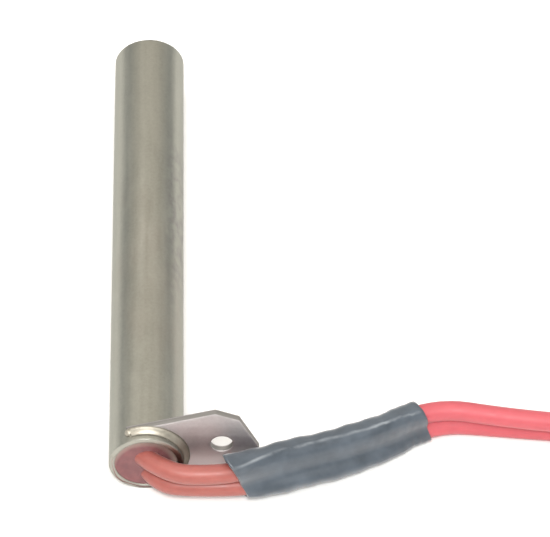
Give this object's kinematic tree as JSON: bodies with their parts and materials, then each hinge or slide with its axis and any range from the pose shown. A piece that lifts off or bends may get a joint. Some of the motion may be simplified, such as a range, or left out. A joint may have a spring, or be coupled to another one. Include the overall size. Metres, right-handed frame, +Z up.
{
  "type": "flame sensor probe",
  "caption": "Closed-tip steel sheath with a brazed screw tab at its open end, silicone leads, a sleeved splice and a coiled twin flex with push-on terminals.",
  "frame": {"origin": "the point where the sheath's axis crosses the plane of the screw tab's seating face", "axes": "+Y along the sheath to its closed tip, +X to the side of the screw tab and the leads, +Z up from the surface that the probe lies on"},
  "size_m": [0.1356, 0.0779, 0.0126],
  "materials": {
    "sheath_steel": "mill finish, mottled",
    "weld_steel": "weld bead, faint heat tint",
    "tab_steel": "rolled, with heat tint",
    "braze": "flowed braze",
    "potting": "satin",
    "insulator": "matte",
    "element": "glazed",
    "cement": "rough",
    "wire_steel": "drawn",
    "crimp": "tin plated",
    "fibre": "braided glass fibre",
    "lead": "satin silicone",
    "strands": "bare copper",
    "splice_cover": "matte",
    "sleeve": "satin, shrunk",
    "flex": "satin silicone",
    "tie": "woven hook-and-loop",
    "terminal": "tin plated"
  },
  "bodies": {
    "root": {"sheath_tube": "sheath_steel", "tip_plug": "sheath_steel", "tip_weld": "weld_steel", "mounting_tab": "tab_steel", "tab_braze": "braze", "potting_plug": "potting", "insulator_rod": "insulator", "sensing_element": "element", "tip_cement": "cement", "element_wire_upper": "wire_steel", "element_wire_lower": "wire_steel", "ferrule_upper": "crimp", "ferrule_lower": "crimp", "fibre_sleeve_upper": "fibre", "fibre_sleeve_lower": "fibre", "lead_upper": "lead", "lead_lower": "lead", "lead_strands_upper": "strands", "lead_strands_lower": "strands", "splice_crimp_upper": "crimp", "splice_crimp_lower": "crimp", "splice_cover_upper": "splice_cover", "splice_cover_lower": "splice_cover", "splice_sleeve": "sleeve", "flex_strands_upper": "strands", "flex_strands_lower": "strands", "flex_run": "flex", "flex_coil": "flex", "flex_tail": "flex", "coil_ties": "tie", "terminal_wire_a": "flex", "terminal_wire_b": "flex", "terminal_a": "terminal", "terminal_b": "terminal"}
  },
  "joints": []
}
